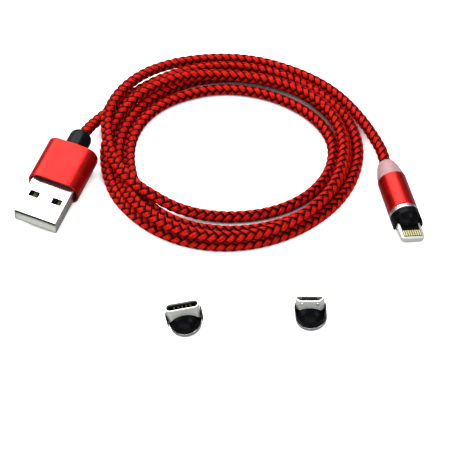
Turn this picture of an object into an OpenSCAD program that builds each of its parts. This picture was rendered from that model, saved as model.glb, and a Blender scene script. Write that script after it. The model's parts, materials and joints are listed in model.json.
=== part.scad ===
// Braided charging cable with a magnetic head and three loose tips.
// It lies coiled on a table: a USB-A plug at the left, the round head with its
// 8-pin tip at the right, and a type-C and a micro-USB tip standing in front.

/* [Cord] */

// Outside diameter of the braided cord
cord_d = 3.3; // [3:0.1:3.4]
// Sides of the plain tube that stands for the cord
cord_sides = 8; // [8:1:12]

/* [USB-A plug] */

// Length of the plug's metal housing
housing_len = 13.5; // [13.5:0.5:15]
// Width of the housing
housing_w = 14.4; // [14.2:0.1:14.6]
// Thickness of the housing
housing_t = 7.8; // [7.4:0.1:7.8]
// Length of the shell that shows in front of the housing
shell_out = 11.6; // [11.4:0.1:12]
// Length of the rubber strain relief
relief_len = 6.5; // [6:0.5:7]

/* [Magnetic head] */

// Outside diameter of the head's sleeve and of every tip's steel plate
head_d = 7.8; // [7.6:0.1:8]
// Length of the translucent collar
collar_len = 6.2; // [6:0.1:6.5]
// Length of the head's metal sleeve
sleeve_len = 11.6; // [11.4:0.1:12.4]

/* [Tips] */

// Thickness of a tip's steel plate
plate_t = 1.1; // [1:0.1:1.2]
// How far a tip's centre contact stands proud of its plate
stud_proud = 0.34; // [0.3:0.02:0.4]
// Height of the type-C shell's mouth above the plate's back
type_c_h = 7.8; // [7.6:0.1:9]
// Height of the micro-USB shell's mouth above the plate's back
micro_h = 8.2; // [8:0.1:9]
// Length from the plate's back to the end of the 8-pin tongue
eight_pin_h = 9.6; // [9.4:0.1:10.6]

/* [Hidden] */

$fn = 64;

red = [0.75, 0.06, 0.06];
braid_red = [0.7, 0.05, 0.05];
black = [0.04, 0.04, 0.05];
nickel = [0.85, 0.85, 0.83];
white = [0.92, 0.92, 0.9];
gold = [0.85, 0.68, 0.3];
frosted = [0.86, 0.62, 0.7];
copper = [0.78, 0.45, 0.25];
green = [0.1, 0.4, 0.2];

// A hair of overrun that keeps cutting faces off each other
eps = 0.01;
// Radial gap between two pieces that are fitted into each other
fit = 0.02;

// ---- where things lie ----

// The coil's middle, seen from the middle of everything that isn't cord
coil_x = 3.1;
coil_y = 32.34;
// The point on the USB-A plug's axis where the shell leaves the housing
usb_at = [-47.4, -19.4, 4.5];
// The plug's roll, nose-down pitch and heading
usb_turn = [-9, 4, -108.5];
// The point where the cord enters the head's collar
head_at = [43, -10, 3.9];
// The head's roll, pitch and heading
head_turn = [-8, 0, -80.2];
// Where each loose tip stands, and its turn about its own axis
type_c_at = [-10.7, -60.9];
type_c_yaw = 8;
micro_at = [20.3, -59.1];
micro_yaw = -4.5;

// Turns of the cord about the coil's middle: [angle, radius, height of its underside]
TURNS = [
    [169, 39, 1.8], [159, 37.5, 0.3],
    [140, 35.5, 0], [120, 34.5, 0], [100, 34, 0], [80, 33.5, 0], [60, 33.5, 0], [40, 34.5, 0], [20, 36, 0],
    [0, 37, 0], [-20, 37, 0], [-40, 37, 0], [-60, 37, 0], [-80, 37.5, 0], [-100, 38, 0], [-120, 38, 0],
    [-140, 37, 0], [-160, 36, 0], [-180, 35.5, 0.5],
    [-200, 34, 2.3], [-220, 31.5, 3], [-240, 29.5, 3.3], [-260, 27, 2.7], [-280, 26.5, 2.5],
    [-300, 27.5, 2.6], [-320, 29.5, 2.9], [-340, 31.5, 3], [-360, 32.5, 3], [-380, 33.5, 3.2],
    [-400, 35, 3.2], [-420, 36, 3.3], [-440, 37.5, 3.3], [-460, 38, 3.3], [-480, 37, 3.2],
    [-500, 35.5, 2.4], [-520, 33, 0], [-540, 32.5, 0],
    [-560, 31.5, 0], [-580, 30.5, 0], [-600, 29.5, 0], [-620, 29, 0], [-640, 29, 0], [-660, 30, 0],
    [-680, 31, 0], [-700, 32.5, 0], [-720, 34, 0], [-740, 34, 0], [-760, 34, 0], [-780, 33.5, 0],
    [-800, 33, 0], [-820, 33, 0], [-840, 33, 0], [-860, 32, 0], [-880, 30, 0], [-900, 29, 0],
    [-920, 28, 0], [-940, 26.5, 0], [-960, 24.5, 0], [-980, 24, 0], [-1000, 23.5, 0], [-1020, 24, 0],
    [-1040, 25.5, 0], [-1060, 28, 0], [-1080, 30.5, 0], [-1100, 30.5, 0], [-1120, 30, 0],
    [-1140, 29, 0], [-1160, 28, 0], [-1180, 28, 0], [-1200, 29.5, 1], [-1220, 32, 3.3],
    [-1240, 34, 3.5], [-1260, 35, 3.5],
    [-1280, 37, 3.5], [-1300, 37.5, 3.2], [-1320, 38, 1.2], [-1340, 37.5, 0], [-1360, 37, 0],
    [-1380, 36.5, 0], [-1400, 37, 0.5], [-1420, 38.5, 0.8], [-1437, 41, 1.3], [-1446, 42.5, 2.1]];

head_r = head_d / 2;
relief_tip = usb_at - heading(usb_turn) * (housing_len + relief_len);
ROUTE = concat([relief_tip],
    [for (t = TURNS) [t[1] * cos(t[0]), t[1] * sin(t[0]), t[2] + cord_d / 2]],
    [head_at]);

function heading(turn) = [cos(turn[2]) * cos(turn[1]), sin(turn[2]) * cos(turn[1]), -sin(turn[1])];
function unit(v) = v / norm(v);

// Children are placed on the table, then about the coil's middle
module on_table() translate([coil_x, coil_y, 0]) children();
module usb_pose() on_table() translate(usb_at) rotate(usb_turn) children();
module head_pose() on_table() translate(head_at) rotate(head_turn) children();

// ---- shared shapes ----

// A slot-shaped outline: two round ends of the height's radius, or a circle if it is no wider
module slot(w, h) {
    if (w > h) square([w - h, h], center = true);
    for (side = w > h ? [-1, 1] : [0]) translate([side * (w - h) / 2, 0]) circle(d = h);
}

// A rectangle with round corners
module round_rect(w, h, r) {
    square([w - 2 * r, h], center = true);
    square([w, h - 2 * r], center = true);
    for (i = [-1, 1], j = [-1, 1]) translate([i * (w / 2 - r), j * (h / 2 - r)]) circle(r);
}

// A prism of a YZ outline along X, between two stations
module along_x(x0, x1) translate([x0, 0, 0]) rotate([90, 0, 90]) linear_extrude(x1 - x0) children();

// A turned shape about X from an outline of [x, radius] points
module turned_x(points) rotate([0, 90, 0]) rotate_extrude() polygon([for (p = points) [p[1], p[0]]]);

// ---- USB-A plug: X is the nose, Y the width, Z the thickness ----

shell_w = 12;
shell_t = 4.5;
shell_wall = 0.3;
shell_back = -7.5;
front_recess = 0.9;
housing_wall = 0.6;
housing_side_r = 3.3;
window_x = 5.1;
window_y = 3.2;
window_size = [2, 2.8];
relief_r = 3.3;
insulator_t = 1.95;
contact_y = [-3.5, -1, 1, 3.5];
contact_len = [7.4, 6.4, 6.4, 7.4];
crimp_r = 2.3;
crimp_back = -housing_len + 1.3;
crimp_front = -housing_len + 2.6;
wire_pitch = 0.9;

module usb_a_shell() color(nickel) usb_pose() difference() {
    along_x(shell_back, shell_out) round_rect(shell_w, shell_t, 0.5);
    along_x(shell_back - eps, shell_out + eps)
        round_rect(shell_w - 2 * shell_wall, shell_t - 2 * shell_wall, 0.25);
    // spring windows, in the top and in the bottom
    for (side = [-1, 1]) translate([window_x, side * window_y, -shell_t])
        linear_extrude(2 * shell_t) round_rect(window_size[0], window_size[1], 0.3);
    // the half-round slot pressed through the top
    translate([2.4, 0, shell_t / 2 - 1]) intersection() {
        difference() {
            cylinder(r = 1.1, h = 2);
            translate([0, 0, -eps]) cylinder(r = 0.85, h = 2 + 2 * eps);
        }
        translate([-3, -3, 0]) cube([3, 6, 2]);
    }
}

module usb_a_insulator() color(white) usb_pose() difference() {
    along_x(shell_back + 0.4, shell_out - 0.4)
        round_rect(shell_w - 2 * (shell_wall + fit), shell_t - 2 * (shell_wall + fit), 0.25);
    // the mouth, in front of the block that closes the shell's back
    translate([0, -shell_w / 2, -shell_t / 2 + shell_wall + fit + insulator_t])
        cube([shell_out, shell_w, shell_t]);
    for (i = [0 : 3]) contact_blank(i, 0.01);
}

// One spring-finger contact: a flat pad that runs back through the block to its solder tail
module contact_blank(i, gap) {
    pad_top = -shell_t / 2 + shell_wall + fit + insulator_t;
    x1 = shell_out - 1.2;
    translate([x1 - contact_len[i] - gap, contact_y[i] - 0.5 - gap, pad_top - 0.15 - gap])
        cube([contact_len[i] + 2 * gap, 1 + 2 * gap, 0.25 + gap]);
    translate([shell_back - 1.2, contact_y[i] - 0.3 - gap, pad_top - 0.15 - gap])
        cube([x1 - contact_len[i] + 0.5 - shell_back + 1.2, 0.6 + 2 * gap, 0.2 + 2 * gap]);
}

module usb_a_contact(i) color(gold) usb_pose() contact_blank(i, 0);

module usb_a_wires() color(copper) usb_pose() for (i = [0 : 3])
    translate([crimp_front, (i - 1.5) * wire_pitch, -0.1]) rotate([0, 90, 0])
        cylinder(r = 0.4, h = shell_back - 1.4 - crimp_front, $fn = 32);

module usb_a_crimp() color(nickel) usb_pose() difference() {
    along_x(crimp_back, crimp_front) circle(crimp_r);
    along_x(crimp_back - eps, crimp_front + eps) circle(crimp_r - 0.35);
}

module usb_a_inner_mould() color(black) usb_pose() difference() {
    along_x(-housing_len + 1, -front_recess)
        round_rect(housing_w - 2 * (housing_wall + fit), housing_t - 2 * (housing_wall + fit),
            housing_side_r - housing_wall - fit);
    // the shell is gripped by this pocket
    along_x(shell_back - fit, eps) round_rect(shell_w + 2 * fit, shell_t + 2 * fit, 0.5);
    // a chamber for the solder tails and wires, and the crimp's seat
    along_x(crimp_front - 0.05, shell_back + eps) square([9, 2.6], center = true);
    along_x(-housing_len + 0.9, crimp_front) circle(crimp_r + fit);
}

module usb_a_housing() color(red) usb_pose() difference() {
    along_x(-housing_len, 0) round_rect(housing_w, housing_t, housing_side_r);
    along_x(-housing_len + 1 - fit, eps)
        round_rect(housing_w - 2 * housing_wall, housing_t - 2 * housing_wall,
            housing_side_r - housing_wall);
    along_x(-housing_len - eps, -housing_len + 1.1) circle(crimp_r + 0.1);
}

// The boot: an eight-sided bar, turned down to a round shoulder where the cord leaves
module usb_a_strain_relief() color(black) usb_pose() {
    back = -housing_len - relief_len;
    intersection() {
        along_x(back, -housing_len) rotate(22.5) circle(r = relief_r, $fn = 8);
        turned_x([[back, 0], [back, 2],
            for (a = [75 : -15 : 0]) [back + 1.9 - 1.9 * sin(a), 2 + 1.15 * cos(a)],
            [-housing_len, relief_r - 0.1], [-housing_len, 0]]);
    }
    along_x(-housing_len - eps, -housing_len + 1.25) circle(crimp_r);
}

// ---- cord ----

// A closed tube through every point of the route, square to the plug and to the head at its ends
module cord() color(braid_red) on_table() {
    last = len(ROUTE) - 1;
    // the flat sides are set so that the tube holds as much as the round cord
    ring_r = cord_d / 2 * sqrt(360 / cord_sides * PI / 180 / sin(360 / cord_sides));
    aims = [for (i = [0 : last])
        i == 0 ? -heading(usb_turn) : i == last ? heading(head_turn) : unit(ROUTE[i + 1] - ROUTE[i - 1])];
    points = [for (i = [0 : last]) let (side = unit(cross(aims[i], [0, 0, 1])), up = cross(side, aims[i]))
        for (k = [0 : cord_sides - 1]) let (a = (k + 0.5) * 360 / cord_sides)
            ROUTE[i] + ring_r * (cos(a) * side + sin(a) * up)];
    walls = [for (i = [0 : last - 1], k = [0 : cord_sides - 1]) let (next = (k + 1) % cord_sides)
        [i * cord_sides + k, i * cord_sides + next, (i + 1) * cord_sides + next, (i + 1) * cord_sides + k]];
    start_cap = [for (k = [cord_sides - 1 : -1 : 0]) k];
    end_cap = [for (k = [0 : cord_sides - 1]) last * cord_sides + k];
    polyhedron(points, concat([start_cap], walls, [end_cap]), convexity = 10);
}

// ---- magnetic head: X runs from the cord to the tip ----

sleeve_back = collar_len;
face_x = collar_len + sleeve_len;
sleeve_end = face_x - 0.15;
sleeve_wall = 0.5;
inner_r = head_r - sleeve_wall;
magnet_hole_r = 1.5;
magnet_len = 2.5;
stud_r = 0.8;
pogo_travel = 0.5;
pin_r = 0.5;
barrel_r = 0.95;
barrel_x0 = face_x - 6.5;
holder_front = face_x - 0.6;
wire_y = 0.42;
wire_r = 0.35;

module head_collar() color(frosted) head_pose() difference() {
    turned_x([[0, 0], [0, 2.1], [0.3, 2.35], [1.2, 2.75], [3, 3.25], [4.6, 3.6],
        [collar_len, head_r - 0.1], [collar_len, inner_r - fit],
        [collar_len + 2, inner_r - fit], [collar_len + 2, 0]]);
    // light chamber behind the spigot, and the wires' way through
    along_x(2, collar_len + 2 + eps) circle(2.2);
    along_x(1, 2 + eps) circle(0.9);
}

module head_sleeve() color(red) head_pose() difference() {
    turned_x([[sleeve_back, 0], [sleeve_back, head_r - 0.1], [sleeve_back + 0.1, head_r],
        [sleeve_end - 0.15, head_r], [sleeve_end, head_r - 0.15], [sleeve_end, 0]]);
    along_x(sleeve_back - eps, sleeve_end + eps) circle(inner_r);
}

module head_magnet() color(nickel) head_pose() difference() {
    along_x(face_x - magnet_len, face_x) circle(inner_r - fit);
    along_x(face_x - magnet_len - eps, face_x + eps) circle(magnet_hole_r);
}

module head_pin_holder() color(white) head_pose() difference() {
    union() {
        along_x(face_x - magnet_len - 1.8, face_x - magnet_len) circle(inner_r - fit);
        along_x(face_x - magnet_len - eps, holder_front) circle(magnet_hole_r - fit);
    }
    along_x(face_x - 6, face_x) circle(barrel_r + fit);
}

module head_pogo_barrel() color(gold) head_pose() difference() {
    along_x(barrel_x0, holder_front - 0.05) circle(barrel_r);
    along_x(barrel_x0 + 0.3, holder_front - 0.4) circle(0.72);
    along_x(holder_front - 0.5, holder_front) circle(pin_r + 0.05);
}

// The pin rests against the tip's stud and can be pressed back by its travel
module head_pogo_pin() color(gold) head_pose() {
    turned_x([[holder_front - 1.2, 0], [holder_front - 1.2, pin_r], [face_x - stud_proud - 0.17, pin_r],
        [face_x - stud_proud - 0.02, pin_r - 0.15], [face_x - stud_proud - 0.02, 0]]);
    along_x(holder_front - 1.6, holder_front - 1) circle(0.66);
}

// A coil of close rings, shorter than its chamber by the pin's travel
module head_pogo_spring() color(nickel) head_pose() {
    first = barrel_x0 + 0.35;
    last = holder_front - 1.6 - pogo_travel - 0.1;
    for (x = [first : 0.35 : last - 0.2]) difference() {
        along_x(x, x + 0.2) circle(0.6, $fn = 32);
        along_x(x - eps, x + 0.2 + eps) circle(0.4, $fn = 32);
    }
    for (side = [-1, 1]) translate([first, side * 0.5 - 0.08, -0.08]) cube([last - first, 0.16, 0.16]);
}

module head_led_board() color(green) head_pose() difference() {
    along_x(collar_len + 2.1, collar_len + 2.9) circle(inner_r - 0.1);
    for (side = [-1, 1]) along_x(collar_len + 2, collar_len + 3)
        translate([0, side * wire_y]) circle(wire_r + fit, $fn = 32);
}

// Two chips that glow back through the collar
module head_led() color(white) head_pose() for (side = [-1, 1])
    translate([collar_len + 1.5, -0.8, side * 1.5 - 0.4]) cube([0.6, 1.6, 0.8]);

// Power and ground, from the cord's end through the board to the barrel
module head_wires() color(copper) head_pose() for (side = [-1, 1])
    along_x(1, barrel_x0 - 0.02) translate([0, side * wire_y]) circle(wire_r, $fn = 32);

// ---- tips: Z runs from the plate's back to the plug's mouth ----

insulator_r = 1.3;
body_base = plate_t;
pocket_z = body_base + 0.5;
// The bodies are domes: a ball about this point of the axis, inside a drum
dome_z = 1.3;
dome_r = 4.2;
ear_top = 4.8;
// A loose tip leans until its plate's rim reaches the table beside the stud
tip_lean = atan(stud_proud / (head_r - stud_r));
tip_lift = head_r * sin(tip_lean);

module eight_pin_pose() head_pose() translate([face_x, 0, 0]) rotate([0, 90, 0]) rotate(90) children();
module standing(at, yaw) on_table()
    translate([at[0], at[1], tip_lift]) rotate([0, -tip_lean, 0]) rotate(yaw) children();
module type_c_pose() standing(type_c_at, type_c_yaw) children();
module micro_pose() standing(micro_at, micro_yaw) children();

module tip_plate() color(nickel) difference() {
    rotate_extrude() polygon([[0, 0], [head_r - 0.12, 0], [head_r, 0.12], [head_r, plate_t - 0.12],
        [head_r - 0.12, plate_t], [0, plate_t]]);
    translate([0, 0, -eps]) cylinder(r = insulator_r + fit, h = plate_t + 2 * eps);
}

module tip_stud_insulator() color(white) difference() {
    cylinder(r = insulator_r, h = plate_t);
    translate([0, 0, -eps]) cylinder(r = stud_r + fit, h = plate_t + 2 * eps);
}

module tip_stud() color(gold) translate([0, 0, -stud_proud])
    cylinder(r = stud_r, h = plate_t + stud_proud + 0.3);

// A round drum under a dome, w wide above its foot, with an ear at each side of a shell of width plug_w
module tip_drum(w, plug_w) {
    intersection() {
        union() {
            translate([0, 0, body_base]) linear_extrude(5) circle(d = head_d);
            translate([0, 0, body_base + 0.9]) linear_extrude(5) slot(w, head_d);
        }
        union() {
            translate([0, 0, dome_z]) sphere(dome_r);
            for (side = [-1, 1]) intersection() {
                translate([side * (plug_w / 2 + 2.5), 0, 2.5]) cube([5, 12, 5], center = true);
                translate([0, 0, ear_top - 4]) rotate([0, 90, 0]) cylinder(r = 4, h = 20, center = true);
            }
        }
    }
}

module eight_pin_plate() eight_pin_pose() tip_plate();
module eight_pin_stud_insulator() eight_pin_pose() tip_stud_insulator();
module eight_pin_stud() eight_pin_pose() tip_stud();

tongue_w = 6.7;
tongue_t = 1.5;
insert_w = 5.1;
insert_end = eight_pin_h - 0.75;
eight_pin_pitch = 0.62;

module eight_pin_body() color(black) eight_pin_pose() difference() {
    tip_drum(head_d, tongue_w);
    translate([0, 0, pocket_z]) linear_extrude(6) slot(tongue_w + 2 * fit, tongue_t + 2 * fit);
    cylinder(r = stud_r + fit, h = pocket_z);
    // three small dimples beside the tongue, on each face
    for (face = [-1, 1], x = [-1.7, 0, 1.7])
        translate([x, face * 1.35, 4.95 - abs(x) * 0.25]) sphere(0.35, $fn = 24);
}

module eight_pin_frame() color(nickel) eight_pin_pose() difference() {
    intersection() {
        linear_extrude(eight_pin_h) slot(tongue_w, tongue_t);
        translate([0, tongue_t, 0]) rotate([90, 0, 0]) linear_extrude(2 * tongue_t) union() {
            translate([-tongue_w / 2, pocket_z]) square([tongue_w, eight_pin_h - 1.4 - pocket_z]);
            translate([-tongue_w / 2 + 1.4, pocket_z]) square([tongue_w - 2.8, eight_pin_h - pocket_z]);
            for (side = [-1, 1]) translate([side * (tongue_w / 2 - 1.4), eight_pin_h - 1.4]) circle(1.4);
        }
    }
    translate([-insert_w / 2, -1, pocket_z + 0.6]) cube([insert_w, 2, insert_end - pocket_z - 0.6]);
}

module eight_pin_insert() color(black) eight_pin_pose() difference() {
    translate([-insert_w / 2 + fit, -tongue_t / 2 + 0.06, pocket_z + 0.6 + fit])
        cube([insert_w - 2 * fit, tongue_t - 0.12, insert_end - pocket_z - 0.6 - 2 * fit]);
    for (i = [1 : 8]) eight_pin_contact_blank(i, 0.01);
}

// A contact shows on both faces of the insert
module eight_pin_contact_blank(i, gap)
    translate([(i - 4.5) * eight_pin_pitch - 0.2 - gap, -tongue_t / 2 + 0.02 - gap, insert_end - 2.1 - gap])
        cube([0.4 + 2 * gap, tongue_t - 0.04 + 2 * gap, 1.8 + 2 * gap]);

module eight_pin_contact(i) color(gold) eight_pin_pose() eight_pin_contact_blank(i, 0);

type_c_w = 8.25;
type_c_t = 2.4;
type_c_wall = 0.25;

module type_c_plate() type_c_pose() tip_plate();
module type_c_stud_insulator() type_c_pose() tip_stud_insulator();
module type_c_stud() type_c_pose() tip_stud();

module type_c_body() color(black) type_c_pose() difference() {
    tip_drum(9.1, type_c_w);
    translate([0, 0, pocket_z]) linear_extrude(6) slot(type_c_w + 2 * fit, type_c_t + 2 * fit);
    cylinder(r = stud_r + fit, h = pocket_z);
}

module type_c_shell() color(nickel) type_c_pose() difference() {
    translate([0, 0, pocket_z]) linear_extrude(type_c_h - pocket_z) slot(type_c_w, type_c_t);
    translate([0, 0, pocket_z - eps]) linear_extrude(type_c_h)
        slot(type_c_w - 2 * type_c_wall, type_c_t - 2 * type_c_wall);
}

// A cup: a solid root, then walls with the mouth between them
module type_c_insert() color(black) type_c_pose() difference() {
    translate([0, 0, pocket_z]) linear_extrude(type_c_h - 0.6 - pocket_z)
        slot(type_c_w - 2 * (type_c_wall + fit), type_c_t - 2 * (type_c_wall + fit));
    translate([0, 0, pocket_z + 1.6]) linear_extrude(type_c_h) slot(6.9, 0.9);
    // the stud's end, and slots for the contacts and the latches
    translate([0, 0, 1]) cylinder(r = stud_r + fit, h = 1);
    type_c_contact_blanks(0.01);
    type_c_latch_blanks(0.01);
}

module type_c_contact_blanks(gap) for (face = [-1, 1], i = [-2 : 2])
    translate([i * 1 - 0.15 - gap, face * 0.52 - 0.1 - gap, pocket_z + 1 - gap])
        cube([0.3 + 2 * gap, 0.2 + 2 * gap, type_c_h - 1.9 - pocket_z + 2 * gap]);

module type_c_latch_blanks(gap) for (side = [-1, 1])
    translate([side * 3.45 - 0.2 - gap, -0.35 - gap, pocket_z + 1 - gap])
        cube([0.4 + 2 * gap, 0.7 + 2 * gap, type_c_h - 2.2 - pocket_z + 2 * gap]);

module type_c_contacts() color(gold) type_c_pose() type_c_contact_blanks(0);
module type_c_latches() color(nickel) type_c_pose() type_c_latch_blanks(0);

micro_w = 6.85;
micro_t = 1.8;
micro_wall = 0.25;

module micro_plate() micro_pose() tip_plate();
module micro_stud_insulator() micro_pose() tip_stud_insulator();
module micro_stud() micro_pose() tip_stud();

// The D-shaped outline: full width at the back, both front corners cut away
module micro_outline(inset) {
    w = micro_w / 2 - inset;
    t = micro_t / 2 - inset;
    polygon([[-w, t], [-w, 0.1], [-w + 0.9, -t], [w - 0.9, -t], [w, 0.1], [w, t]]);
}

module micro_body() color(black) micro_pose() difference() {
    tip_drum(head_d, micro_w);
    translate([0, 0, pocket_z]) linear_extrude(6) micro_outline(-fit);
    cylinder(r = stud_r + fit, h = pocket_z);
    // the moulding's dimple on the front of the dome
    translate([0.3, -2.55, 4.95]) sphere(0.45, $fn = 24);
}

module micro_shell() color(nickel) micro_pose() difference() {
    translate([0, 0, pocket_z]) linear_extrude(micro_h - pocket_z) micro_outline(0);
    translate([0, 0, pocket_z - eps]) linear_extrude(micro_h) micro_outline(micro_wall);
    // windows for the two latches
    for (side = [-1, 1]) translate([side * 1.95, -micro_t / 2, 6.9]) cube([0.7, 1, 1.2], center = true);
}

module micro_insert() color(black) micro_pose() difference() {
    union() {
        translate([0, 0, pocket_z]) linear_extrude(2.4) micro_outline(micro_wall + fit);
        translate([-1.85, -0.05, pocket_z + 2]) cube([3.7, 0.6, micro_h - 0.4 - pocket_z - 2]);
    }
    translate([0, 0, 1]) cylinder(r = stud_r + fit, h = 1);
    micro_contact_blanks(0.01);
    micro_latch_blanks(0.01);
}

module micro_contact_blanks(gap) for (i = [-2 : 2])
    translate([i * 0.65 - 0.2 - gap, -0.12 - gap, pocket_z + 1.6 - gap])
        cube([0.4 + 2 * gap, 0.15 + 2 * gap, micro_h - 1 - pocket_z - 1.6 + 2 * gap]);

// Each latch is a leaf with a hook that looks out of the shell's window
module micro_latch_blanks(gap) for (side = [-1, 1]) {
    translate([side * 2.05 - 0.2 - gap, -0.6 - gap, pocket_z + 1.6 - gap])
        cube([0.4 + 2 * gap, 0.2 + 2 * gap, 4.2 + 2 * gap]);
    translate([side * 1.95 - 0.2, -micro_t / 2 - 0.15, 6.6]) cube([0.4, 0.5, 0.6]);
}

module micro_contacts() color(gold) micro_pose() micro_contact_blanks(0);
module micro_latches() color(nickel) micro_pose() micro_latch_blanks(0);

// ---- what is drawn ----

usb_a_shell();
usb_a_insulator();
usb_a_contact(0);  // usb_a_contact_1
usb_a_contact(1);  // usb_a_contact_2
usb_a_contact(2);  // usb_a_contact_3
usb_a_contact(3);  // usb_a_contact_4
usb_a_inner_mould();
usb_a_crimp();
usb_a_wires();
usb_a_housing();
usb_a_strain_relief();
cord();
head_collar();
head_sleeve();
head_magnet();
head_pin_holder();
head_pogo_barrel();
head_pogo_spring();
head_pogo_pin();
head_led_board();
head_led();
head_wires();
eight_pin_plate();
eight_pin_stud_insulator();
eight_pin_stud();
eight_pin_body();
eight_pin_frame();
eight_pin_insert();
eight_pin_contact(1);  // eight_pin_contact_1
eight_pin_contact(2);  // eight_pin_contact_2
eight_pin_contact(3);  // eight_pin_contact_3
eight_pin_contact(4);  // eight_pin_contact_4
eight_pin_contact(5);  // eight_pin_contact_5
eight_pin_contact(6);  // eight_pin_contact_6
eight_pin_contact(7);  // eight_pin_contact_7
eight_pin_contact(8);  // eight_pin_contact_8
type_c_plate();
type_c_stud_insulator();
type_c_stud();
type_c_body();
type_c_shell();
type_c_insert();
type_c_contacts();
type_c_latches();
micro_plate();
micro_stud_insulator();
micro_stud();
micro_body();
micro_shell();
micro_insert();
micro_contacts();
micro_latches();
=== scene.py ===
"""Looks of the magnetic charging cable: camera, braided cord, materials, light.

Lengths are in millimetres until a piece is made, and metres in Blender.
"""
import json
import math

import bpy
import numpy as np
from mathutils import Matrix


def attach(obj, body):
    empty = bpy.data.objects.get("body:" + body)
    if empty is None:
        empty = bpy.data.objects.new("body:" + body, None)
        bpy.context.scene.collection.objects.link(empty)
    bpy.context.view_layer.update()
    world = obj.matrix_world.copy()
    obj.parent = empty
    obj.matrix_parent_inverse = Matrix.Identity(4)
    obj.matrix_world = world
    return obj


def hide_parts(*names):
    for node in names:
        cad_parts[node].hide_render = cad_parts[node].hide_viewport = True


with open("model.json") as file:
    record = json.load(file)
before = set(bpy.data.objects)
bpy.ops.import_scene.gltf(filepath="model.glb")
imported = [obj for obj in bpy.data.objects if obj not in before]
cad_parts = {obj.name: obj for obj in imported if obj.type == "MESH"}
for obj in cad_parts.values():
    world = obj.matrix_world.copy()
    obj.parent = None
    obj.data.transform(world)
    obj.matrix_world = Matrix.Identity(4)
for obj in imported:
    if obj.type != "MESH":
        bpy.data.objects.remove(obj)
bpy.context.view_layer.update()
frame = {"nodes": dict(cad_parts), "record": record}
MM = 0.001

# ---------------------------------------------------------------- places, as the part's source has them

COIL = np.array([3.1, 32.34, 0.0])
CORD_D = 3.3
USB_AT = np.array([-47.4, -19.4, 4.5])
USB_TURN = (-9, 4, -108.5)
HOUSING_LEN, HOUSING_W, HOUSING_SIDE_R, RELIEF_LEN = 13.5, 14.4, 3.3, 6.5
# How far the plug's shell stands out, and how far its moulding stays behind the shell's edge
SHELL_OUT, TONGUE_BACK = 11.6, 0.4
HEAD_AT = np.array([43.0, -10.0, 3.9])
HEAD_TURN = (-8, 0, -80.2)
# Turns of the cord about the coil's middle: [angle, radius, height of its underside]
TURNS = [
    [169, 39, 1.8], [159, 37.5, 0.3],
    [140, 35.5, 0], [120, 34.5, 0], [100, 34, 0], [80, 33.5, 0], [60, 33.5, 0], [40, 34.5, 0], [20, 36, 0],
    [0, 37, 0], [-20, 37, 0], [-40, 37, 0], [-60, 37, 0], [-80, 37.5, 0], [-100, 38, 0], [-120, 38, 0],
    [-140, 37, 0], [-160, 36, 0], [-180, 35.5, 0.5],
    [-200, 34, 2.3], [-220, 31.5, 3], [-240, 29.5, 3.3], [-260, 27, 2.7], [-280, 26.5, 2.5],
    [-300, 27.5, 2.6], [-320, 29.5, 2.9], [-340, 31.5, 3], [-360, 32.5, 3], [-380, 33.5, 3.2],
    [-400, 35, 3.2], [-420, 36, 3.3], [-440, 37.5, 3.3], [-460, 38, 3.3], [-480, 37, 3.2],
    [-500, 35.5, 2.4], [-520, 33, 0], [-540, 32.5, 0],
    [-560, 31.5, 0], [-580, 30.5, 0], [-600, 29.5, 0], [-620, 29, 0], [-640, 29, 0], [-660, 30, 0],
    [-680, 31, 0], [-700, 32.5, 0], [-720, 34, 0], [-740, 34, 0], [-760, 34, 0], [-780, 33.5, 0],
    [-800, 33, 0], [-820, 33, 0], [-840, 33, 0], [-860, 32, 0], [-880, 30, 0], [-900, 29, 0],
    [-920, 28, 0], [-940, 26.5, 0], [-960, 24.5, 0], [-980, 24, 0], [-1000, 23.5, 0], [-1020, 24, 0],
    [-1040, 25.5, 0], [-1060, 28, 0], [-1080, 30.5, 0], [-1100, 30.5, 0], [-1120, 30, 0],
    [-1140, 29, 0], [-1160, 28, 0], [-1180, 28, 0], [-1200, 29.5, 1], [-1220, 32, 3.3],
    [-1240, 34, 3.5], [-1260, 35, 3.5],
    [-1280, 37, 3.5], [-1300, 37.5, 3.2], [-1320, 38, 1.2], [-1340, 37.5, 0], [-1360, 37, 0],
    [-1380, 36.5, 0], [-1400, 37, 0.5], [-1420, 38.5, 0.8], [-1437, 41, 1.3], [-1446, 42.5, 2.1]]


def turned(turn):
    """Rotation matrix of a roll, a pitch and a heading in degrees."""
    r, p, y = (math.radians(a) for a in turn)
    about_x = np.array([[1, 0, 0], [0, math.cos(r), -math.sin(r)], [0, math.sin(r), math.cos(r)]])
    about_y = np.array([[math.cos(p), 0, math.sin(p)], [0, 1, 0], [-math.sin(p), 0, math.cos(p)]])
    about_z = np.array([[math.cos(y), -math.sin(y), 0], [math.sin(y), math.cos(y), 0], [0, 0, 1]])
    return about_z @ about_y @ about_x


USB_AXES = turned(USB_TURN)
HEAD_AXES = turned(HEAD_TURN)
RELIEF_TIP = USB_AT - USB_AXES[:, 0] * (HOUSING_LEN + RELIEF_LEN)

# ---------------------------------------------------------------- camera

CAMERA_BACK, CAMERA_UP, CAMERA_DOWN_DEG = 213.0, 218.0, 50.0
FOCAL_PIXELS, IMAGE_PIXELS, SENSOR = 1070.0, 459.0, 36.0


def make_camera():
    data = bpy.data.cameras.new("camera")
    data.sensor_width = SENSOR
    data.lens = FOCAL_PIXELS / IMAGE_PIXELS * SENSOR
    data.clip_start, data.clip_end = 0.01, 20
    camera = bpy.data.objects.new("camera", data)
    camera.location = (COIL[0] * MM, (COIL[1] - CAMERA_BACK) * MM, CAMERA_UP * MM)
    camera.rotation_euler = (math.radians(90 - CAMERA_DOWN_DEG), 0, 0)
    bpy.context.collection.objects.link(camera)
    bpy.context.scene.camera = camera


make_camera()

# ---------------------------------------------------------------- the cord's route

ROUTE_STEP = 2.0
SETTLE_ROUNDS = 500
# Points at each end that stay in place
HELD_POINTS = 4
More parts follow.
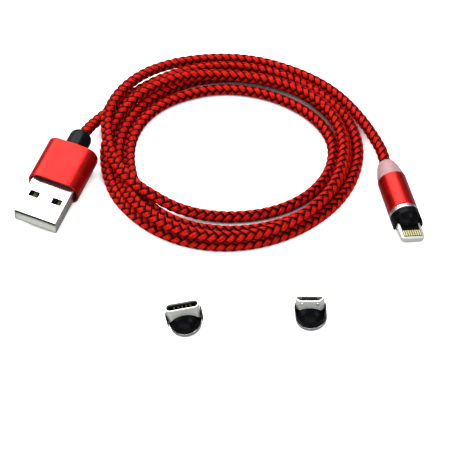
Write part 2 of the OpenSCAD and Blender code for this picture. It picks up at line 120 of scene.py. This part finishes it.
# Share of each wish that one round fulfils
PULL_APART, PULL_SMOOTH, PULL_BACK, PULL_OUT = 0.35, 0.3, 0.02, 0.5
# Spare room beside the plug's housing, and under the cord
PLUG_ROOM, TABLE_ROOM = 0.5, 0.06


def smooth_through(points, per_step):
    """A Catmull-Rom curve through the points."""
    ends = np.vstack([2 * points[0] - points[1], points, 2 * points[-1] - points[-2]])
    out = []
    for i in range(1, len(ends) - 2):
        a, b, c, d = ends[i - 1:i + 3]
        for t in np.arange(per_step) / per_step:
            out.append(0.5 * (2 * b + (c - a) * t + (2 * a - 5 * b + 4 * c - d) * t * t
                              + (3 * b - a - 3 * c + d) * t ** 3))
    out.append(points[-1])
    return np.array(out)


def evenly(points, step):
    """The same line with points a step apart."""
    run = np.r_[0, np.cumsum(np.linalg.norm(np.diff(points, axis=0), axis=1))]
    count = int(round(run[-1] / step))
    at = np.linspace(0, run[-1], count + 1)
    return np.stack([np.interp(at, run, points[:, k]) for k in range(3)], axis=1)


def settle(line):
    """Pushes apart turns that share space, keeps them on the table, out of the plug and smooth."""
    start = line.copy()
    count = len(line)
    apart = np.abs(np.arange(count)[:, None] - np.arange(count)[None]) * ROUTE_STEP > 3 * CORD_D
    side_y = HOUSING_W / 2 - HOUSING_SIDE_R
    side_line = [USB_AT + USB_AXES @ np.array([x, side_y, 0]) for x in (0, -HOUSING_LEN)]
    held = np.zeros(count)
    held[:HELD_POINTS] = held[-HELD_POINTS:] = 1
    for _ in range(SETTLE_ROUNDS):
        gap = line[:, None] - line[None]
        far = np.linalg.norm(gap, axis=2)
        near = apart & (far < CORD_D)
        push = np.where(near, (CORD_D - far) / np.maximum(far, 1e-6), 0)[:, :, None] * gap
        move = PULL_APART * push.sum(axis=1) / np.maximum(near.sum(axis=1), 1)[:, None]
        bend = np.zeros_like(line)
        bend[1:-1] = (line[:-2] + line[2:]) / 2 - line[1:-1]
        move += PULL_SMOOTH * bend + PULL_BACK * (start - line)
        along = side_line[1] - side_line[0]
        t = np.clip((line - side_line[0]) @ along / (along @ along), 0, 1)
        out = line - (side_line[0] + t[:, None] * along)
        depth = np.linalg.norm(out, axis=1)
        inside = np.maximum(HOUSING_SIDE_R + PLUG_ROOM + CORD_D / 2 - depth, 0)
        move += PULL_OUT * (inside / depth)[:, None] * out
        line = line + move * (1 - held)[:, None]
        line[:, 2] = np.maximum(line[:, 2], CORD_D / 2 + TABLE_ROOM)
    return line


def cord_route():
    """The cord's middle line, from the strain relief to the head, about the coil's middle."""
    angle, radius, lift = np.array(TURNS).T
    angle = np.radians(angle)
    turns = np.stack([radius * np.cos(angle), radius * np.sin(angle), lift + CORD_D / 2], 1)
    points = np.vstack([RELIEF_TIP, turns, HEAD_AT])
    line = settle(evenly(smooth_through(points, 12), ROUTE_STEP))
    line[0], line[-1] = RELIEF_TIP, HEAD_AT
    return line


ROUTE = cord_route()

# ---------------------------------------------------------------- the braid

CARRIERS_EACH_WAY = 4
# Length of cord in which a carrier goes once round
LEAD = 9.4
# Rings and vertices along one carrier's width
CELL_STEPS = 5
# Radius under the carriers, their rise over a crossing, and the crown of a bundle of yarn
BRAID_R = 1.27
WAVE = 0.14
CROWN = 0.25
# Keeps a vertex on a cell's border on one side of it
NUDGE = 1e-6


def carried_frames(line, first_aim, last_aim):
    """Direction, side and up vectors along the line, carried without twist."""
    aim = np.gradient(line, axis=0)
    aim[0], aim[-1] = first_aim, last_aim
    aim /= np.linalg.norm(aim, axis=1)[:, None]
    side = np.empty_like(line)
    side[0] = np.cross(aim[0], [0, 0, 1])
    side[0] /= np.linalg.norm(side[0])
    for i in range(1, len(line)):
        flat = side[i - 1] - aim[i] * (side[i - 1] @ aim[i])
        side[i] = flat / np.linalg.norm(flat)
    return aim, side, np.cross(side, aim)


def carrier_height(across, along):
    """Height of one carrier: a round bundle that rises over two others and dives under the next two."""
    rise = np.cos(math.pi / 2 * along)
    return WAVE * rise + CROWN * np.sqrt(1 - 0.97 * (2 * across - 1) ** 2) * (0.55 + 0.45 * rise)


def braid_height(qa, qb):
    """Height of the braid over its base, for the two counts of carriers crossed."""
    i, j = np.floor(qa), np.floor(qb)
    a = carrier_height(qa - i, (qb - i + 2) % 4 - 2)
    b = carrier_height(qb - j, (qa - j - 3 + 2) % 4 - 2)
    return np.maximum(a, b)


def make_braid():
    """One closed tube whose grid runs with the carriers, so that each crossing has its own patch."""
    turn = CARRIERS_EACH_WAY * CELL_STEPS
    line = evenly(smooth_through(ROUTE, 8), LEAD / (2 * turn))
    aim, side, up = carried_frames(line, -USB_AXES[:, 0], HEAD_AXES[:, 0])
    rings = len(line)
    ring = np.repeat(np.arange(rings), turn)
    step_round = 2 * np.tile(np.arange(turn), rings) + ring % 2
    theta = math.pi * step_round / turn
    qa = (ring - step_round) / (2 * CELL_STEPS) + NUDGE
    qb = (ring + step_round) / (2 * CELL_STEPS) + NUDGE
    reach = (BRAID_R + braid_height(qa, qb))[:, None]
    out = np.cos(theta)[:, None] * side[ring] + np.sin(theta)[:, None] * up[ring]
    points = line[ring] + reach * out

    def vertex(r, d):
        return r * turn + ((d - r % 2) // 2) % turn

    cells = [[(r, d), (r + 1, d - 1), (r + 2, d), (r + 1, d + 1)]
             for r in range(rings - 2) for d in range(r % 2, 2 * turn, 2)]
    last = rings - 1
    cells += [[(0, d), (1, d + 1), (0, d + 2)] for d in range(0, 2 * turn, 2)]
    cells += [[(last, d), (last, d + 2), (last - 1, d + 1)] for d in range(last % 2, 2 * turn, 2)]
    cells.append([(0, d) for d in range(0, 2 * turn, 2)])
    cells.append([(last, d + last % 2) for d in range(2 * turn - 2, -1, -2)])
    mesh = bpy.data.meshes.new("cord_braid")
    mesh.from_pydata((points + COIL) * MM, [], [[vertex(r, d) for r, d in cell] for cell in cells])
    counts = mesh.uv_layers.new(name="carriers")
    flat = [((r - d) / (2 * CELL_STEPS), (r + d) / (2 * CELL_STEPS)) for cell in cells for r, d in cell]
    counts.data.foreach_set("uv", np.array(flat, dtype=np.float32).ravel())
    mesh.shade_smooth()
    mesh.update()
    piece = bpy.data.objects.new("cord_braid", mesh)
    bpy.context.collection.objects.link(piece)
    return piece, line


# ---------------------------------------------------------------- materials


class Nodes:
    """Short calls for building a node material."""

    def __init__(self, name):
        self.material = bpy.data.materials.new(name)
        self.material.use_nodes = True
        self.tree = self.material.node_tree
        self.shader = self.tree.nodes["Principled BSDF"]

    def add(self, kind, **inputs):
        node = self.tree.nodes.new("ShaderNode" + kind)
        for key, value in inputs.items():
            self.give(node.inputs[key], value)
        return node

    def give(self, socket, value):
        if isinstance(value, bpy.types.NodeSocket):
            self.tree.links.new(value, socket)
        else:
            socket.default_value = value

    def math(self, operation, a, b=0.0, c=0.0):
        node = self.tree.nodes.new("ShaderNodeMath")
        node.operation = operation
        for socket, value in zip(node.inputs, (a, b, c)):
            self.give(socket, value)
        return node.outputs[0]

    def ramp(self, value, low, high, to_low=0.0, to_high=1.0):
        node = self.tree.nodes.new("ShaderNodeMapRange")
        node.interpolation_type = "SMOOTHSTEP"
        given = {"Value": value, "From Min": low, "From Max": high, "To Min": to_low, "To Max": to_high}
        for key, setting in given.items():
            self.give(node.inputs[key], setting)
        return node.outputs[0]

    def mix(self, factor, a, b):
        node = self.tree.nodes.new("ShaderNodeMix")
        node.data_type = "RGBA"
        self.give(node.inputs[0], factor)
        self.give(node.inputs[6], a)
        self.give(node.inputs[7], b)
        return node.outputs[2]

    def noise(self, scale, detail=3.0):
        place = self.add("TexCoord").outputs["Object"]
        return self.add("TexNoise", Vector=place, Scale=scale, Detail=detail).outputs[0]

    def bump(self, height, strength, distance):
        node = self.add("Bump", Height=height, Strength=strength, Distance=distance)
        self.give(self.shader.inputs["Normal"], node.outputs[0])

    def set(self, **values):
        for key, value in values.items():
            self.give(self.shader.inputs[key.replace("_", " ")], value)


# Yarns side by side in one bundle
YARNS = 6


def braid_material():
    """Red bundles of fine yarns, with a black yarn along one edge and painted shade along the other edge, in
    the grooves between the yarns and where a bundle dives under.
    """
    n = Nodes("red_braid")
    uv = n.add("UVMap")
    uv.uv_map = "carriers"
    split = n.add("SeparateXYZ", Vector=uv.outputs[0])
    qa, qb = split.outputs[0], split.outputs[1]
    i, j = n.math("FLOOR", qa), n.math("FLOOR", qb)
    turn = n.math("FLOORED_MODULO", n.math("SUBTRACT", i, j), 4.0)
    b_on_top = n.math("GREATER_THAN", turn, 1.5)
    a_on_top = n.math("SUBTRACT", 1.0, b_on_top)
    across_a = n.math("SUBTRACT", qa, i)
    across_b = n.math("SUBTRACT", 1.0, n.math("SUBTRACT", qb, j))
    across = n.math("ADD", n.math("MULTIPLY", across_a, a_on_top), n.math("MULTIPLY", across_b, b_on_top))
    run_a = n.math("WRAP", n.math("SUBTRACT", qb, i), 2.0, -2.0)
    run_b = n.math("WRAP", n.math("SUBTRACT", n.math("SUBTRACT", qa, j), 3.0), 2.0, -2.0)
    run = n.math("ADD", n.math("MULTIPLY", run_a, a_on_top), n.math("MULTIPLY", run_b, b_on_top))
    run = n.math("ABSOLUTE", run)
    # Black yarn along one edge of each bundle; the dark band along the other edge is painted shade between
    # neighbouring bundles.
    black_yarn_and_edge_shade = n.math("MAXIMUM", n.ramp(across, 0.12, 0.26, 1.0, 0.0), n.ramp(across, 0.9, 0.99, 0.0, 0.9))
    yarn_wave = n.math("ABSOLUTE", n.math("SINE", n.math("MULTIPLY", across, math.pi * YARNS)))
    speckle = n.noise(2600.0, 4.0)
    red = n.mix(n.ramp(speckle, 0.3, 0.7), (0.35, 0.0006, 0.0004, 1), (0.88, 0.015, 0.004, 1))
    # Painted shade: darker red in the grooves between the yarns of a bundle.
    groove_shaded = n.mix(n.ramp(yarn_wave, 0.0, 0.45, 0.6, 1.0), (0.22, 0.001, 0.001, 1), red)
    # Painted shade: near black where a bundle dives under the crossing ones.
    dive_shaded = n.mix(n.ramp(run, 0.35, 0.92, 0.0, 0.96), groove_shaded, (0.012, 0.0, 0.0, 1))
    color = n.mix(black_yarn_and_edge_shade, dive_shaded, (0.0015, 0.0008, 0.001, 1))
    n.set(Base_Color=color, Roughness=n.ramp(black_yarn_and_edge_shade, 0.3, 0.7, 0.42, 0.95), Specular_IOR_Level=0.05)
    n.bump(n.math("ADD", yarn_wave, n.math("MULTIPLY", speckle, 0.6)), 0.5, 0.00008)
    return n.material


def shade(color, factor, add=0.0):
    """The colour made darker or lighter."""
    return tuple(c * factor + add for c in color[:3]) + (1,)


def anodised_material(name, color):
    """Satin anodised aluminium: a fine grain in colour and relief, and a cloudy roughness."""
    n = Nodes(name)
    fine = n.noise(5200.0, 2.0)
    cloud = n.noise(240.0, 2.0)
    darker = shade(color, 0.82)
    n.set(Base_Color=n.mix(n.ramp(fine, 0.3, 0.7), darker, color), Metallic=1.0,
          Roughness=n.ramp(cloud, 0.3, 0.7, 0.30, 0.38))
    n.bump(fine, 0.12, 0.00003)
    return n.material


def metal_material(name, color, low, high, metallic=1.0):
    """Plated or bare metal, cloudy in colour and in roughness from low to high."""
    n = Nodes(name)
    cloud = n.noise(450.0)
    darker = shade(color, 0.96)
    n.set(Base_Color=n.mix(n.ramp(cloud, 0.35, 0.65), darker, color), Metallic=metallic,
          Roughness=n.ramp(cloud, 0.3, 0.7, low, high))
    n.bump(cloud, 0.02, 0.00001)
    return n.material


def plastic_material(name, color, roughness, specular=0.5):
    """Moulded plastic with a faint mottle in colour, roughness and relief."""
    n = Nodes(name)
    cloud = n.noise(1500.0)
    lighter = shade(color, 1.15, 0.002)
    n.set(Base_Color=n.mix(n.ramp(cloud, 0.3, 0.7), color, lighter),
          Roughness=n.ramp(cloud, 0.3, 0.7, roughness * 0.85, roughness * 1.15), Specular_IOR_Level=specular)
    n.bump(cloud, 0.06, 0.00003)
    return n.material


def frosted_material():
    """Frosted translucent plastic that takes up the red beside it."""
    n = Nodes("frosted_pink")
    cloud = n.noise(500.0)
    n.set(Base_Color=n.mix(n.ramp(cloud, 0.3, 0.7), (0.40, 0.22, 0.24, 1), (0.50, 0.31, 0.32, 1)),
          Roughness=0.38, Subsurface_Weight=0.35, Subsurface_Scale=0.002,
          Subsurface_Radius=(1.0, 0.5, 0.55), Specular_IOR_Level=0.35)
    n.bump(cloud, 0.08, 0.00003)
    return n.material


def tongue_material():
    """The plug's moulding: pale at its front end, and dark with painted shade in the depth of the shell."""
    n = Nodes("usb_a_tongue")
    place = n.add("TexCoord").outputs["Object"]
    dot = n.tree.nodes.new("ShaderNodeVectorMath")
    dot.operation = "DOT_PRODUCT"
    n.give(dot.inputs[0], place)
    n.give(dot.inputs[1], tuple(USB_AXES[:, 0]))
    front = float(np.dot(USB_AT + COIL, USB_AXES[:, 0])) + SHELL_OUT - TONGUE_BACK
    pale = n.ramp(dot.outputs["Value"], (front - 0.5) * MM, (front - 0.1) * MM)
    cloud = n.noise(1500.0)
    # Painted shade: the moulding behind its front end is dark, where the shell shades it.
    depth = n.mix(cloud, (0.012, 0.011, 0.004, 1), (0.022, 0.020, 0.008, 1))
    end = n.mix(cloud, (0.60, 0.62, 0.56, 1), (0.70, 0.72, 0.66, 1))
    n.set(Base_Color=n.mix(pale, depth, end), Roughness=0.5)
    n.bump(cloud, 0.06, 0.00003)
    return n.material


MATERIALS = {
    "red_braid": braid_material(),
    "red_anodised": anodised_material("red_anodised", (0.74, 0.020, 0.018, 1)),
    "nickel_shell": metal_material("nickel_shell", (0.80, 0.80, 0.78, 1), 0.16, 0.2, metallic=0.97),
    "steel_part": metal_material("steel_part", (0.68, 0.68, 0.66, 1), 0.26, 0.36),
    "magnet_nickel": metal_material("magnet_nickel", (0.6, 0.6, 0.6, 1), 0.15, 0.25),
    "gold_contact": metal_material("gold_contact", (0.95, 0.86, 0.42, 1), 0.22, 0.32, metallic=0.55),
    "copper_wire": metal_material("copper_wire", (0.72, 0.34, 0.17, 1), 0.3, 0.4),
    "black_plastic": plastic_material("black_plastic", (0.002, 0.002, 0.003, 1), 0.26, 0.05),
    "black_rubber": plastic_material("black_rubber", (0.003, 0.004, 0.006, 1), 0.3, 0.1),
    "white_plastic": plastic_material("white_plastic", (0.66, 0.68, 0.62, 1), 0.5),
    "frosted_pink": frosted_material(),
    "board_green": plastic_material("board_green", (0.02, 0.18, 0.07, 1), 0.4, 0.3),
    "led_white": plastic_material("led_white", (0.85, 0.85, 0.75, 1), 0.2, 0.5),
}

for entry in frame["record"]["subparts"]:
    node = frame["nodes"].get(entry["node"])
    if node:
        node.data.materials.clear()
        node.data.materials.append(MATERIALS[entry["material_slot"]])
frame["nodes"]["usb_a_insulator"].data.materials[0] = tongue_material()
# The tips' shells are duller than the plug's
satin_nickel = metal_material("satin_nickel", (0.74, 0.76, 0.71, 1), 0.3, 0.36, metallic=0.55)
for name in ("eight_pin_frame", "type_c_shell", "micro_shell"):
    frame["nodes"][name].data.materials[0] = satin_nickel

# ---------------------------------------------------------------- pieces

braid, braid_line = make_braid()
braid.data.materials.append(MATERIALS["red_braid"])
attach(braid, "cable")
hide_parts("cord")

# ---------------------------------------------------------------- floor and light


FLOOR_SIZE, FLOOR_DROP = 3, 0.00003
# How near something has to be to shade the table
SHADE_REACH = 0.006


def make_floor():
    """A white table that throws back less light than it shows, with painted shade in narrow gaps and a
    painted light, seen by the camera, on its open parts.
    """
    bpy.ops.mesh.primitive_plane_add(size=FLOOR_SIZE, location=(0, 0, -FLOOR_DROP))
    floor = bpy.context.object
    floor.name = "floor"
    n = Nodes("floor_white")
    seen = n.add("LightPath").outputs["Is Camera Ray"]
    white = n.mix(n.ramp(n.noise(3.0), 0.3, 0.7), (0.93, 0.93, 0.93, 1), (0.95, 0.95, 0.95, 1))
    open_sky = n.add("AmbientOcclusion", Distance=SHADE_REACH).outputs["AO"]
    # Painted shade: dark reddish floor in narrow gaps, where little of the sky is open.
    white = n.mix(n.ramp(open_sky, 0.12, 0.36), (0.10, 0.03, 0.03, 1), white)
    # Painted light: the camera sees the open floor shine with its own light, fading out near things.
    painted_floor_glow = n.math("MULTIPLY", n.ramp(open_sky, 0.1, 0.45, 0.0, 0.6), seen)
    n.set(Base_Color=n.mix(seen, (0.3, 0.3, 0.3, 1), white), Roughness=0.8, Specular_IOR_Level=0.1,
          Emission_Color=(1, 1, 1, 1), Emission_Strength=painted_floor_glow)
    floor.data.materials.append(n.material)


def make_light(name, at, size, power):
    """An area light that faces the middle of the part."""
    data = bpy.data.lights.new(name, "AREA")
    data.shape = "RECTANGLE"
    data.size, data.size_y = size
    data.energy = power
    light = bpy.data.objects.new(name, data)
    light.location = at
    x, y, z = at
    light.rotation_euler = (math.atan2(math.hypot(x, y), z), 0, math.atan2(-x, y) + math.pi)
    bpy.context.collection.objects.link(light)


def make_world():
    """Soft light from above that falls off towards the horizon."""
    world = bpy.data.worlds.new("studio")
    world.use_nodes = True
    tree = world.node_tree
    place = tree.nodes.new("ShaderNodeTexCoord")
    split = tree.nodes.new("ShaderNodeSeparateXYZ")
    tree.links.new(place.outputs["Generated"], split.inputs[0])
    ramp = tree.nodes.new("ShaderNodeMapRange")
    tree.links.new(split.outputs[2], ramp.inputs["Value"])
    for key, value in (("From Min", 0.1), ("From Max", 0.95), ("To Min", 0.05), ("To Max", 0.6)):
        ramp.inputs[key].default_value = value
    tree.links.new(ramp.outputs[0], tree.nodes["Background"].inputs["Strength"])
    tree.nodes["Background"].inputs["Color"].default_value = (1, 1, 1, 1)
    bpy.context.scene.world = world


make_floor()
make_world()
make_light("key", (-0.15, 0.45, 0.55), (0.7, 0.5), 5.6)
make_light("left", (-0.60, -0.05, 0.42), (0.4, 0.5), 2.2)
make_light("right", (0.42, -0.30, 0.50), (0.25, 0.3), 1.2)
make_light("front", (-0.10, -0.80, 0.24), (1.2, 0.5), 4.0)
bpy.context.scene.view_settings.view_transform = "Standard"
